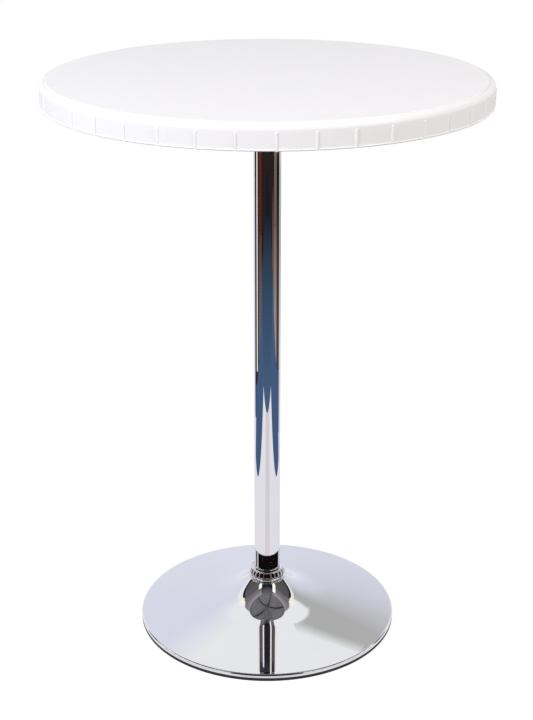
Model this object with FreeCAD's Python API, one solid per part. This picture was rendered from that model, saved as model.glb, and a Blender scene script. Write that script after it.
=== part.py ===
import FreeCAD, Part
import math
import os

# Pub table: a round moulded top on a steel cross, a chromed column and a trumpet base.
# Millimetres. The origin is on the floor at the centre of the base, and +Z is up.
# Every name that ends in _d is a diameter, _w a width, _h a height, _t a thickness, _l a length.

# Whole table
table_height = 1090.0
overrun = 1.0
fit_gap = 0.1
running_gap = 0.3
thread_gap = 0.3

# Table top, moulded polypropylene
top_d = 800.0
top_depth = 43.0
border_w = 11.0
border_round_r = 9.6
field_step_h = 2.0
field_edge_r = 1.8
field_wall_t = 5.0
skirt_wall_t = 4.0
inner_corner_r = 7.0
skirt_bead_count = 40
bead_turn_share = 0.2
skirt_bead_w = 5.0
skirt_bead_proud = 1.6
skirt_bead_drop = 1.2
hem_h = 3.4
hem_proud = 1.2
boss_d = 15.0
boss_h = 7.0
web_w = 2.6
web_gap = 1.0
web_root = 1.0
ring_web_shares = (0.24, 0.50, 0.76)

# Cross under the top, welded from square tube
arm_count = 4
arm_w = 25.0
arm_wall_t = 2.0
arm_end_gap = 12.0
cap_t = 3.0
cap_plug_l = 14.0
cap_wall_t = 2.0
socket_gap = 0.2
socket_wall_t = 4.0
socket_l = 80.0
socket_plate_t = 6.0

# Fasteners
top_screw_d = 5.0
top_screw_head_d = 10.0
top_screw_head_h = 3.4
top_screw_bite = 9.0
top_screw_shares = (0.42, 0.90)
top_screw_recess_share = 0.55
screw_washer_d = 14.0
screw_washer_t = 1.2
head_bolt_d = 10.0
head_bolt_af_share = 1.6
head_bolt_head_share = 0.64
head_bolt_reach_share = 0.9
head_washer_d = 21.0
head_washer_t = 2.0
head_room = 1.0
hub_screw_count = 4
hub_screw_d = 8.0
hub_screw_head_share = 1.95
hub_screw_socket_share = 0.36
hub_screw_socket_depth_share = 0.35
hub_screw_tip_gap = 1.0
hole_gap = 0.4

# Column
column_d = 50.8
column_wall_t = 1.5
head_plug_l = 30.0
foot_flange_lip = 2.4
foot_flange_t = 2.6
foot_stub_l = 40.0
foot_spigot_l = 42.0
foot_bore_d = 20.0

# Lock ring, slip washer and neck ring
neck_step = 0.8
lock_thread_l = 7.0
lock_ring_gap = 0.5
lock_ring_wall_t = 7.4
lock_rim_h = 3.4
lock_rim_round = 0.8
knurl_count = 24
knurl_turn_share = 0.7
knurl_depth = 1.5
knurl_setback = 0.4
knurl_taper = 3.2
lock_shoulder_t = 1.6
lock_lip_setback = 0.9
lock_lip_w = 2.6
lock_lip_h = 1.4
slip_washer_t = 1.2
neck_ring_proud = 4.7
neck_ring_h = 8.0

# Base
base_d = 507.0
rim_h = 13.5
rim_edge_r = 4.0
shell_t = 1.5
disc_slope_deg = 10.0
flare_r = 180.0
flare_start_d = 248.0
flare_turn_deg = 26.0
neck_flare_r = 135.0
neck_ledge = 2.4
hub_wall_t = 6.0
hub_flange_d = 120.0
hub_flange_t = 8.0
hub_floor_gap = 2.0
ballast_d = 330.0
ballast_t = 10.0
base_plate_inset = 17.5
base_plate_t = 6.0
floor_pad_t = 5.0
floor_pad_overlap = 12.0
floor_seat_h = 7.0
floor_rib_w = 6.0
floor_rib_h = 2.5
floor_edge_r = 1.5

# Radii that several pieces share
top_r = top_d / 2
field_r = top_r - border_w
skirt_inner_r = top_r - skirt_wall_t
column_r = column_d / 2
column_inner_r = column_r - column_wall_t
socket_inner_r = column_r + socket_gap
socket_r = socket_inner_r + socket_wall_t
foot_flange_r = column_r + foot_flange_lip
hub_r = foot_flange_r + neck_step
hub_bore_r = hub_r - hub_wall_t
lock_bore_r = hub_r + thread_gap
lock_ring_r = lock_bore_r + lock_ring_wall_t
neck_ring_r = hub_r + neck_ring_proud
neck_r = neck_ring_r + neck_ledge
base_r = base_d / 2
base_plate_r = base_r - base_plate_inset
hub_screw_circle_r = (hub_r + hub_flange_d / 2) / 2
arm_end_r = skirt_inner_r - arm_end_gap - cap_t

# Curve of the base shell: a cone, then two arcs that flare up to the neck, the upper one tighter
disc_slope = math.radians(disc_slope_deg)
flare_start_r = flare_start_d / 2
flare_start_z = rim_h + (base_r - flare_start_r) * math.tan(disc_slope)
flare_centre_r = flare_start_r + flare_r * math.sin(disc_slope)
flare_centre_z = flare_start_z + flare_r * math.cos(disc_slope)
flare_turn = math.radians(flare_turn_deg)
neck_centre_r = flare_centre_r - (flare_r - neck_flare_r) * math.sin(flare_turn)
neck_centre_z = flare_centre_z - (flare_r - neck_flare_r) * math.cos(flare_turn)
rim_centre_r = base_r - rim_edge_r
rim_centre_z = rim_h + rim_edge_r * (math.tan(disc_slope) - 1 / math.cos(disc_slope))

# Heights, from the floor up
base_plate_z = floor_pad_t
ballast_z = base_plate_z + base_plate_t
hub_z = ballast_z + ballast_t
neck_z = neck_centre_z - math.sqrt(neck_flare_r ** 2 - (neck_centre_r - neck_r) ** 2)
lock_ring_z = neck_z + neck_ring_h + lock_ring_gap
hub_top_z = lock_ring_z + lock_thread_l
column_z = hub_top_z + foot_flange_t
lock_shoulder_z = column_z + slip_washer_t
lock_dish_z = lock_shoulder_z + lock_shoulder_t
lock_lip_z = lock_dish_z + lock_lip_h
skirt_z = table_height - top_depth
border_z = table_height - field_step_h
skirt_top_z = border_z - border_round_r
field_under_z = table_height - field_wall_t
arm_top_z = field_under_z - boss_h
arm_z = arm_top_z - arm_w
head_bolt_head_h = head_bolt_head_share * head_bolt_d
socket_plate_top_z = arm_top_z - head_room - head_bolt_head_h - head_washer_t
column_top_z = socket_plate_top_z - socket_plate_t
socket_z = arm_top_z - socket_l

UP = FreeCAD.Vector(0, 0, 1)
CENTRE = FreeCAD.Vector(0, 0, 0)


def at(radius, height, angle_deg=0):
    """A point at a radius from the column's axis, a height and an angle round it."""
    angle = math.radians(angle_deg)
    return FreeCAD.Vector(radius * math.cos(angle), radius * math.sin(angle), height)


def turned(start, *moves):
    """Solid turned about the column's axis. A move is an end point, or (through, end) for an arc."""
    edges = []
    here = start
    for move in moves + (start,):
        if isinstance(move[0], tuple):
            through, end = move
            edges.append(Part.Arc(at(*here), at(*through), at(*end)).toShape())
        else:
            end = move
            edges.append(Part.LineSegment(at(*here), at(*end)).toShape())
        here = end
    return Part.Face(Part.Wire(edges)).revolve(CENTRE, UP, 360)


def disc(radius, low, high, centre=(0, 0)):
    """Upright cylinder between two heights."""
    return Part.makeCylinder(radius, high - low, FreeCAD.Vector(centre[0], centre[1], low), UP)


def bored(radius, bore, low, high):
    """Upright tube between two heights."""
    return disc(radius, low, high).cut(disc(bore, low - overrun, high + overrun))


def block(low, high):
    """Box between two corners."""
    size = [b - a for a, b in zip(low, high)]
    return Part.makeBox(*size, FreeCAD.Vector(*low))


def spun(shape, angle_deg):
    """A copy turned about the column's axis."""
    copy = shape.copy()
    copy.rotate(CENTRE, UP, angle_deg)
    return copy


def around(shape, count, first_deg=0):
    """Copies spaced evenly round the column's axis."""
    return [spun(shape, first_deg + 360 * k / count) for k in range(count)]


def on_arc(centre, radius, angle_deg):
    """Point (radius, height) on a circle in the section plane."""
    angle = math.radians(angle_deg)
    return (centre[0] + radius * math.cos(angle), centre[1] + radius * math.sin(angle))


def save(name, shape):
    """Write one node. A list of solids is written as one group."""
    if isinstance(shape, list):
        shape = Part.makeCompound(shape)
    shape.exportStep("parts/" + name + ".step")


# Where the screws go through each arm, as distances from the axis
top_screw_places = [share * arm_end_r for share in top_screw_shares]
# The first bead lies a little way round from the first arm, as a share of the beads' pitch
bead_first_deg = bead_turn_share * 360 / skirt_bead_count


def skirt_bead():
    """Upright bead on the skirt, rounded at its upper end, on the +X side."""
    radius = ((skirt_bead_w / 2) ** 2 + skirt_bead_proud ** 2) / (2 * skirt_bead_proud)
    centre_r = top_r + skirt_bead_proud - radius
    high = skirt_top_z - skirt_bead_drop - skirt_bead_w / 2
    stem = disc(radius, skirt_z, high, (centre_r, 0))
    return stem.fuse(Part.makeSphere(radius, FreeCAD.Vector(centre_r, 0, high)))


def top_hollow(grow):
    """Space below the field and inside the skirt, grown by a length into the walls round it."""
    corner = (skirt_inner_r - inner_corner_r, field_under_z - inner_corner_r)
    return turned(
        (0, skirt_z - overrun),
        (skirt_inner_r + grow, skirt_z - overrun),
        (skirt_inner_r + grow, corner[1]),
        (on_arc(corner, inner_corner_r + grow, 45), (corner[0], field_under_z + grow)),
        (0, field_under_z + grow),
    )


def make_table_top():
    """Moulded top: raised flat field, rounded border, beaded skirt, webs and screw bosses below."""
    border_centre = (top_r - border_round_r, skirt_top_z)
    edge_centre = (field_r - field_edge_r, table_height - field_edge_r)
    outer = turned(
        (0, table_height),
        (edge_centre[0], table_height),
        (on_arc(edge_centre, field_edge_r, 45), (field_r, edge_centre[1])),
        (field_r, border_z),
        (border_centre[0], border_z),
        (on_arc(border_centre, border_round_r, 45), (top_r, skirt_top_z)),
        (top_r, skirt_z + hem_h),
        ((top_r + hem_proud, skirt_z + hem_h / 2), (top_r, skirt_z)),
        (0, skirt_z),
    )
    outer = outer.multiFuse(around(skirt_bead(), skirt_bead_count, bead_first_deg))
    shell = outer.cut(top_hollow(0))
    web_z = field_under_z - boss_h + web_gap
    web_top_z = field_under_z + web_root
    ring_web_places = [share * field_r for share in ring_web_shares]
    web = block((ring_web_places[0], -web_w / 2, web_z), (top_r, web_w / 2, table_height))
    stiffeners = around(web.common(top_hollow(web_root)), skirt_bead_count, bead_first_deg)
    for place in ring_web_places:
        stiffeners.append(bored(place + web_w / 2, place - web_w / 2, web_z, web_top_z))
    for place in top_screw_places:
        stiffeners += around(disc(boss_d / 2, arm_top_z, web_top_z, (place, 0)), arm_count)
    shell = shell.multiFuse(stiffeners)
    pilots = []
    pilot_r = top_screw_d / 2 + fit_gap
    pilot_top_z = arm_top_z + top_screw_bite + fit_gap
    for place in top_screw_places:
        pilots += around(disc(pilot_r, arm_top_z - overrun, pilot_top_z, (place, 0)), arm_count)
    return shell.cut(pilots).removeSplitter()


def make_spider_arm():
    """Square tube of the cross, coped to the socket and drilled for its screws, on the +X side."""
    half = arm_w / 2
    inner = half - arm_wall_t
    tube = block((0, -half, arm_z), (arm_end_r, half, arm_top_z))
    hollow_low = (-overrun, -inner, arm_z + arm_wall_t)
    hollow_high = (arm_end_r + overrun, inner, arm_top_z - arm_wall_t)
    cuts = [block(hollow_low, hollow_high)]
    cuts.append(disc(socket_r, arm_z - overrun, arm_top_z + overrun))
    for place in top_screw_places:
        cuts.append(disc(top_screw_d / 2 + hole_gap, arm_z - overrun, arm_top_z + overrun, (place, 0)))
    return tube.cut(cuts)


def make_arm_cap():
    """Plastic plug in the open end of an arm: a square face and a hollow stem."""
    half = arm_w / 2
    stem = half - arm_wall_t - fit_gap
    hollow = stem - cap_wall_t
    middle = arm_z + half
    stem_r = arm_end_r - cap_plug_l
    face = block((arm_end_r, -half, arm_z), (arm_end_r + cap_t, half, arm_top_z))
    plug = block((stem_r, -stem, middle - stem), (arm_end_r, stem, middle + stem))
    bore = block((stem_r - overrun, -hollow, middle - hollow), (arm_end_r, hollow, middle + hollow))
    return face.fuse(plug.cut(bore)).removeSplitter()


def make_top_screw(place):
    """Pan-head screw up through an arm into a boss, with a square drive recess."""
    head_z = arm_z - screw_washer_t
    low_z = head_z - top_screw_head_h
    dome = top_screw_head_h / 2
    head_r = top_screw_head_d / 2
    head = Part.makeCone(head_r - dome, head_r, dome, FreeCAD.Vector(place, 0, low_z))
    head = head.fuse(disc(head_r, low_z + dome, head_z, (place, 0)))
    screw = head.fuse(disc(top_screw_d / 2, head_z, arm_top_z + top_screw_bite, (place, 0)))
    drive = top_screw_recess_share * top_screw_d / 2
    recess = block((place - drive, -drive, low_z - overrun), (place + drive, drive, low_z + dome))
    return screw.cut(recess).removeSplitter()


def make_screw_washer(place):
    """Flat washer under the head of a top screw."""
    low = arm_z - screw_washer_t
    ring = disc(screw_washer_d / 2, low, arm_z, (place, 0))
    return ring.cut(disc(top_screw_d / 2 + hole_gap, low - overrun, arm_z + overrun, (place, 0)))


def make_socket_plate():
    """Round plate welded inside the socket, with the head bolt's hole."""
    return bored(socket_inner_r - fit_gap, head_bolt_d / 2 + hole_gap, column_top_z, socket_plate_top_z)


def make_head_bolt():
    """Hexagon bolt down through the socket plate into the column's head plug."""
    head_z = socket_plate_top_z + head_washer_t
    corner_r = head_bolt_af_share * head_bolt_d / 2 / math.cos(math.radians(30))
    corners = [at(corner_r, head_z, 60 * k) for k in range(7)]
    head = Part.Face(Part.makePolygon(corners)).extrude(UP * head_bolt_head_h)
    tip_z = column_top_z - head_bolt_reach_share * head_plug_l
    return head.fuse(disc(head_bolt_d / 2, tip_z, head_z)).removeSplitter()


def make_head_washer():
    """Flat washer under the head bolt."""
    hole_r = head_bolt_d / 2 + hole_gap
    return bored(head_washer_d / 2, hole_r, socket_plate_top_z, socket_plate_top_z + head_washer_t)


def make_column_head_plug():
    """Tapped plug welded into the column's top end."""
    thread_r = head_bolt_d / 2 + fit_gap
    return bored(column_inner_r - fit_gap, thread_r, column_top_z - head_plug_l, column_top_z)


def make_column_foot():
    """Turned foot: a stub in the tube, a flange that the lock ring clamps and a spigot in the hub."""
    spigot_r = hub_bore_r - fit_gap
    stub_r = column_inner_r - fit_gap
    bore_r = foot_bore_d / 2
    return turned(
        (bore_r, hub_top_z - foot_spigot_l),
        (spigot_r, hub_top_z - foot_spigot_l),
        (spigot_r, hub_top_z),
        (foot_flange_r, hub_top_z),
        (foot_flange_r, column_z),
        (stub_r, column_z),
        (stub_r, column_z + foot_stub_l),
        (bore_r, column_z + foot_stub_l),
    )


def lobed_wire(crest_r, height):
    """Closed row of arcs round the axis, one for each lobe of the lock ring's grip."""
    step = 360 / knurl_count
    root_r = crest_r - knurl_depth
    lobes = []
    for k in range(knurl_count):
        middle = (k + knurl_turn_share) * step
        valley = at(root_r, height, middle - step / 2)
        next_valley = at(root_r, height, middle + step / 2)
        lobes.append(Part.Arc(valley, at(crest_r, height, middle), next_valley).toShape())
    return Part.Wire(lobes)


def make_lock_ring():
    """Ring nut: a smooth rim, a tapered grip with lobes and a rounded lip round a dished top."""
    rim_z = lock_ring_z + lock_rim_h
    rim_round_r = lock_ring_r - lock_rim_round
    crest_r = lock_ring_r - knurl_setback
    top_crest_r = crest_r - knurl_taper
    lip_r = top_crest_r - lock_lip_setback
    lip_round = lock_lip_w / 2
    low_centre = (rim_round_r, lock_ring_z + lock_rim_round)
    high_centre = (rim_round_r, rim_z - lock_rim_round)
    rim = turned(
        (0, lock_ring_z),
        (rim_round_r, lock_ring_z),
        (on_arc(low_centre, lock_rim_round, -45), (lock_ring_r, low_centre[1])),
        (lock_ring_r, high_centre[1]),
        (on_arc(high_centre, lock_rim_round, 45), (rim_round_r, rim_z)),
        (0, rim_z),
    )
    foot = lobed_wire(crest_r, rim_z - lock_rim_round)
    grip = Part.makeLoft([foot, lobed_wire(top_crest_r, lock_dish_z)], True)
    lip_centre = (lip_r - lip_round, lock_lip_z - lip_round)
    lip = turned(
        (lip_r - lock_lip_w, lock_dish_z),
        (lip_r, lock_dish_z),
        (lip_r, lip_centre[1]),
        ((lip_centre[0], lock_lip_z), (lip_r - lock_lip_w, lip_centre[1])),
    )
    cavity = turned(
        (0, lock_ring_z - overrun),
        (lock_bore_r, lock_ring_z - overrun),
        (lock_bore_r, lock_shoulder_z),
        (column_r + running_gap, lock_shoulder_z),
        (column_r + running_gap, lock_lip_z + overrun),
        (0, lock_lip_z + overrun),
    )
    return rim.multiFuse([grip, lip]).cut(cavity).removeSplitter()


def make_neck_ring():
    """Smooth bead nut on the hub's thread that holds the shell's neck down."""
    bore_r = hub_r + fit_gap
    round_r = neck_ring_h / 2
    flank_r = neck_ring_r - round_r
    top_z = neck_z + neck_ring_h
    return turned(
        (bore_r, neck_z),
        (flank_r, neck_z),
        ((neck_ring_r, neck_z + round_r), (flank_r, top_z)),
        (bore_r, top_z),
    )


def make_base_hub():
    """Flanged hub on the ballast, bored for the column's foot and tapped from below."""
    hub = disc(hub_r, hub_z, hub_top_z).fuse(disc(hub_flange_d / 2, hub_z, hub_z + hub_flange_t))
    bore = disc(hub_bore_r, hub_top_z - foot_spigot_l - hub_floor_gap, hub_top_z + overrun)
    tapped = disc(
        hub_screw_d / 2 + fit_gap, hub_z - overrun, hub_z + hub_flange_t + overrun, (hub_screw_circle_r, 0)
    )
    return hub.cut([bore] + around(tapped, hub_screw_count)).removeSplitter()


def make_hub_screw():
    """Countersunk screw up through both discs into the hub's flange, with a hexagon socket."""
    shank_r = hub_screw_d / 2
    head_r = hub_screw_head_share * shank_r
    place = FreeCAD.Vector(hub_screw_circle_r, 0, base_plate_z)
    head = Part.makeCone(head_r, shank_r, head_r - shank_r, place)
    tip_z = hub_z + hub_flange_t - hub_screw_tip_gap
    screw = head.fuse(disc(shank_r, base_plate_z, tip_z, (hub_screw_circle_r, 0)))
    corners = [at(hub_screw_socket_share * hub_screw_d, 0, 60 * k) for k in range(7)]
    socket_depth = hub_screw_socket_depth_share * hub_screw_d
    key = Part.Face(Part.makePolygon(corners)).extrude(UP * (socket_depth + overrun))
    key.translate(place - UP * overrun)
    return screw.cut(key).removeSplitter()


def make_base_disc(radius, low, high, countersunk):
    """Steel disc of the base with the hub screws' holes."""
    hole_r = hub_screw_d / 2 + hole_gap
    hole = disc(hole_r, low - overrun, high + overrun, (hub_screw_circle_r, 0))
    if countersunk:
        head_r = hub_screw_head_share * hub_screw_d / 2 + fit_gap
        sink = Part.makeCone(head_r, 0, head_r, FreeCAD.Vector(hub_screw_circle_r, 0, low))
        hole = hole.fuse(sink)
    return disc(radius, low, high).cut(around(hole, hub_screw_count))


def make_base_shell():
    """Spun shell: an upright lip, a rounded rim, a shallow cone, a flare and a ledge round the hub."""
    flare_centre = (flare_centre_r, flare_centre_z)
    neck_centre = (neck_centre_r, neck_centre_z)
    rim_centre = (rim_centre_r, rim_centre_z)
    slope_deg = 90 - disc_slope_deg
    flare_deg = -90 - disc_slope_deg
    turn_deg = -90 - flare_turn_deg
    inner_flare_r = flare_r + shell_t
    inner_neck_r = neck_flare_r + shell_t
    inner_rim_r = rim_edge_r - shell_t
    drop = neck_centre_z - neck_z
    neck_deg = math.degrees(math.asin(drop / neck_flare_r)) - 180
    inner_neck_deg = math.degrees(math.asin((drop + shell_t) / inner_neck_r)) - 180
    neck_bore_r = hub_r + fit_gap
    return turned(
        (base_r, floor_seat_h),
        (base_r, rim_centre_z),
        (on_arc(rim_centre, rim_edge_r, slope_deg / 2), on_arc(rim_centre, rim_edge_r, slope_deg)),
        on_arc(flare_centre, flare_r, flare_deg),
        (
            on_arc(flare_centre, flare_r, (flare_deg + turn_deg) / 2),
            on_arc(flare_centre, flare_r, turn_deg),
        ),
        (
            on_arc(neck_centre, neck_flare_r, (turn_deg + neck_deg) / 2),
            on_arc(neck_centre, neck_flare_r, neck_deg),
        ),
        (neck_bore_r, neck_z),
        (neck_bore_r, neck_z - shell_t),
        on_arc(neck_centre, inner_neck_r, inner_neck_deg),
        (
            on_arc(neck_centre, inner_neck_r, (turn_deg + inner_neck_deg) / 2),
            on_arc(neck_centre, inner_neck_r, turn_deg),
        ),
        (
            on_arc(flare_centre, inner_flare_r, (flare_deg + turn_deg) / 2),
            on_arc(flare_centre, inner_flare_r, flare_deg),
        ),
        on_arc(rim_centre, inner_rim_r, slope_deg),
        (on_arc(rim_centre, inner_rim_r, slope_deg / 2), (base_r - shell_t, rim_centre_z)),
        (base_r - shell_t, floor_seat_h),
    )


def make_floor_ring():
    """Rubber ring on the floor: a pad under the base plate, a seat for the shell's lip, a rib between."""
    pad_r = base_plate_r - floor_pad_overlap
    rib_inner_r = base_plate_r + running_gap
    rib_r = rib_inner_r + floor_rib_w
    rib_z = floor_seat_h + floor_rib_h
    edge_centre = (base_r - floor_edge_r, floor_edge_r)
    return turned(
        (pad_r, 0),
        (edge_centre[0], 0),
        (on_arc(edge_centre, floor_edge_r, -45), (base_r, edge_centre[1])),
        (base_r, floor_seat_h),
        (rib_r, floor_seat_h),
        (rib_r, rib_z),
        (rib_inner_r, rib_z),
        (rib_inner_r, floor_pad_t),
        (pad_r, floor_pad_t),
    )


os.makedirs("parts", exist_ok=True)

save("table_top", make_table_top())
arms = around(make_spider_arm(), arm_count)
caps = around(make_arm_cap(), arm_count)
for number, (arm, cap) in enumerate(zip(arms, caps), start=1):
    save("spider_arm_" + str(number), arm)
    save("arm_cap_" + str(number), cap)
save("spider_socket", bored(socket_r, socket_inner_r, socket_z, arm_top_z))
save("socket_plate", make_socket_plate())
screws = [around(make_top_screw(place), arm_count) for place in top_screw_places]
washers = [around(make_screw_washer(place), arm_count) for place in top_screw_places]
save("top_screws", sum(screws, []))
save("screw_washers", sum(washers, []))
save("head_bolt", make_head_bolt())
save("head_washer", make_head_washer())

save("column_tube", bored(column_r, column_inner_r, column_z, column_top_z))
save("column_head_plug", make_column_head_plug())
save("column_foot", make_column_foot())

save("lock_ring", make_lock_ring())
save("slip_washer", bored(lock_bore_r - running_gap, column_r + running_gap, column_z, lock_shoulder_z))
save("neck_ring", make_neck_ring())

save("base_shell", make_base_shell())
save("base_hub", make_base_hub())
save("hub_screws", around(make_hub_screw(), hub_screw_count))
save("ballast_disc", make_base_disc(ballast_d / 2, ballast_z, hub_z, False))
save("base_plate", make_base_disc(base_plate_r, base_plate_z, ballast_z, True))
save("floor_ring", make_floor_ring())
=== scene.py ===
import bmesh
import bpy
import math
from mathutils import Matrix, Vector


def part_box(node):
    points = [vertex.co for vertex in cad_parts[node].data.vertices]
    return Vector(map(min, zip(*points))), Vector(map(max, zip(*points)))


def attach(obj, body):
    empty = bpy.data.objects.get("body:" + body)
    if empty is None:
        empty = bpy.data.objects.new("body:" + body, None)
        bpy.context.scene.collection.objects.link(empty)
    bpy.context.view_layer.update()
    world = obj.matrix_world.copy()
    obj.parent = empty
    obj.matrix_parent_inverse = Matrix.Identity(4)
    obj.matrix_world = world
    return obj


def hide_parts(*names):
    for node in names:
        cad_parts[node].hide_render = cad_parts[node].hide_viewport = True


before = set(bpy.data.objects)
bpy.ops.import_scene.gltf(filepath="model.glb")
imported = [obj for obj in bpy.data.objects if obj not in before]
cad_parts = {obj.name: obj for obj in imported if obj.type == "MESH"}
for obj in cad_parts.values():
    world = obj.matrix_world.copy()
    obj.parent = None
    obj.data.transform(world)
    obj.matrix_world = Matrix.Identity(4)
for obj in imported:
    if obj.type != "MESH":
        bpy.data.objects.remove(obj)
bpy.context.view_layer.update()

# Floor ring: the black ring that the whole table stands on, moulded in rubber.
# The base plate lies in it, on a pad, and the lip of the chromed shell sits on its step.
mm = 0.001
full_turn = 2 * math.pi
crisp_angle = math.radians(32)
seam_gap = 0.001 * mm


def linear(hex_colour):
    """An sRGB colour such as #f0eef1 as the linear colour that a shader takes."""
    shares = [int(hex_colour[k:k + 2], 16) / 255 for k in (1, 3, 5)]
    steps = [c / 12.92 if c <= 0.04045 else ((c + 0.055) / 1.055) ** 2.4 for c in shares]
    return (*steps, 1.0)


def add_node(tree, kind, inputs, **settings):
    """Add a node: settings are its own properties, and an input is a value or another node's output."""
    node = tree.nodes.new("ShaderNode" + kind)
    for name, value in settings.items():
        setattr(node, name, value)
    for name, value in inputs.items():
        if isinstance(value, bpy.types.NodeSocket):
            tree.links.new(value, node.inputs[name])
        else:
            node.inputs[name].default_value = value
    return node


def new_finish(name):
    """An empty material, and the place on the piece in metres that its patterns read."""
    material = bpy.data.materials.new(name)
    material.use_nodes = True
    material.node_tree.nodes.clear()
    place = add_node(material.node_tree, "TexCoord", {}).outputs["Object"]
    return material, material.node_tree, place


def turn(outline, steps, closed=True):
    """Turn (radius, height) points about the column's axis. A third number rounds that corner."""
    mesh = bmesh.new()
    corners = [mesh.verts.new((point[0], 0, point[1])) for point in outline]
    followers = corners[1:] + corners[:1] if closed else corners[1:]
    for corner, follower in zip(corners, followers):
        mesh.edges.new((corner, follower))
    for corner, point in zip(corners, outline):
        if len(point) == 3:
            bmesh.ops.bevel(
                mesh, geom=[corner], offset=point[2], segments=6, profile=0.5, affect="VERTICES", material=-1
            )
    bmesh.ops.spin(
        mesh, geom=mesh.verts[:] + mesh.edges[:], cent=(0, 0, 0), axis=(0, 0, 1),
        angle=full_turn, steps=steps, use_merge=True,
    )
    bmesh.ops.remove_doubles(mesh, verts=mesh.verts[:], dist=seam_gap)
    bmesh.ops.recalc_face_normals(mesh, faces=mesh.faces[:])
    return mesh


def add_piece(name, mesh, finish, body, slot, *nodes):
    """Make the mesh a piece: soft shading with crisp edges, a finish, a body and the nodes it stands for."""
    for face in mesh.faces:
        face.smooth = True
    for edge in mesh.edges:
        edge.smooth = edge.calc_face_angle(0) < crisp_angle
    data = bpy.data.meshes.new(name)
    mesh.to_mesh(data)
    mesh.free()
    data.materials.append(finish)
    made = bpy.data.objects.new(name, data)
    bpy.context.scene.collection.objects.link(made)
    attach(made, body)
    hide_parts(*nodes)
    return made


# Moulded rubber: dull and black, greyed in soft patches by bloom and by dust from the floor.
rubber, tree, place = new_finish("moulded_black_rubber")
bloom = add_node(tree, "TexNoise", {"Vector": place, "Scale": 1 / (30 * mm), "Detail": 4.0})
tone = add_node(
    tree, "Mix", {0: bloom.outputs["Fac"], 6: linear("#09090a"), 7: linear("#1d1d1e")}, data_type="RGBA"
)
pores = add_node(tree, "TexNoise", {"Vector": place, "Scale": 1 / (1.5 * mm)})
skin = add_node(tree, "Bump", {"Height": pores.outputs["Fac"], "Strength": 0.3, "Distance": 0.1 * mm})
shader = add_node(
    tree, "BsdfPrincipled",
    {"Base Color": tone.outputs[2], "Roughness": 0.62, "IOR": 1.52, "Normal": skin.outputs["Normal"]},
)
add_node(tree, "OutputMaterial", {"Surface": shader.outputs["BSDF"]})

ring_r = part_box("floor_ring")[1].x
rib_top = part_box("floor_ring")[1].z
seat_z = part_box("base_shell")[0].z
plate_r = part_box("base_plate")[1].x
pad_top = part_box("base_plate")[0].z
pad_w = 12 * mm
pad_r = plate_r - pad_w
rib_gap = 0.3 * mm
rib_r = plate_r + rib_gap
rib_w = 6 * mm
floor_edge_r = 1.5 * mm
soft_edge_r = 0.4 * mm
rubber_ring = turn(
    [
        (pad_r, 0),
        (ring_r, 0, floor_edge_r),
        (ring_r, seat_z, soft_edge_r),
        (rib_r + rib_w, seat_z),
        (rib_r + rib_w, rib_top),
        (rib_r, rib_top),
        (rib_r, pad_top),
        (pad_r, pad_top),
    ],
    steps=256,
)
add_piece("rubber_floor_ring", rubber_ring, rubber, "table", "black_rubber", "floor_ring")


# Base plate and ballast: two steel discs that keep the table upright, hidden by the shell above.
# They are laser cut, dipped in black paint and screwed together up into the hub.
def dress(finish, *names):
    """Give CAD nodes whose shape is already right their finish."""
    for name in names:
        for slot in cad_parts[name].material_slots:
            slot.material = finish


# Dipped black paint: satin, uneven where it ran, and thin enough to show the mill scale beneath.
dip_paint, tree, place = new_finish("dipped_black_paint")
runs = add_node(tree, "TexNoise", {"Vector": place, "Scale": 1 / (45 * mm), "Detail": 6.0, "Distortion": 0.6})
tone = add_node(
    tree, "Mix", {0: runs.outputs["Fac"], 6: linear("#101011"), 7: linear("#29292b")}, data_type="RGBA"
)
gloss = add_node(tree, "MapRange", {"Value": runs.outputs["Fac"], "To Min": 0.34, "To Max": 0.58})
scale = add_node(tree, "TexNoise", {"Vector": place, "Scale": 1 / (3 * mm), "Detail": 3.0})
skin = add_node(tree, "Bump", {"Height": scale.outputs["Fac"], "Strength": 0.35, "Distance": 0.15 * mm})
shader = add_node(
    tree, "BsdfPrincipled",
    {
        "Base Color": tone.outputs[2], "Roughness": gloss.outputs["Result"], "IOR": 1.5,
        "Normal": skin.outputs["Normal"],
    },
)
add_node(tree, "OutputMaterial", {"Surface": shader.outputs["BSDF"]})
dress(dip_paint, "base_plate", "ballast_disc")

# Hub screws: four countersunk socket screws, driven up through both discs into the hub's flange.
# Zinc plated: pale grey with a faint blue and straw bloom from the passivating bath.
zinc, tree, place = new_finish("zinc_plated_steel")
bath = add_node(tree, "TexNoise", {"Vector": place, "Scale": 1 / (6 * mm), "Detail": 3.0})
tone = add_node(
    tree, "Mix", {0: bath.outputs["Fac"], 6: linear("#a9b0b8"), 7: linear("#c9c6bb")}, data_type="RGBA"
)
gloss = add_node(tree, "MapRange", {"Value": bath.outputs["Fac"], "To Min": 0.22, "To Max": 0.42})
shader = add_node(
    tree, "BsdfPrincipled",
    {"Base Color": tone.outputs[2], "Metallic": 1.0, "Roughness": gloss.outputs["Result"]},
)
add_node(tree, "OutputMaterial", {"Surface": shader.outputs["BSDF"]})
dress(zinc, "hub_screws")

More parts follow.
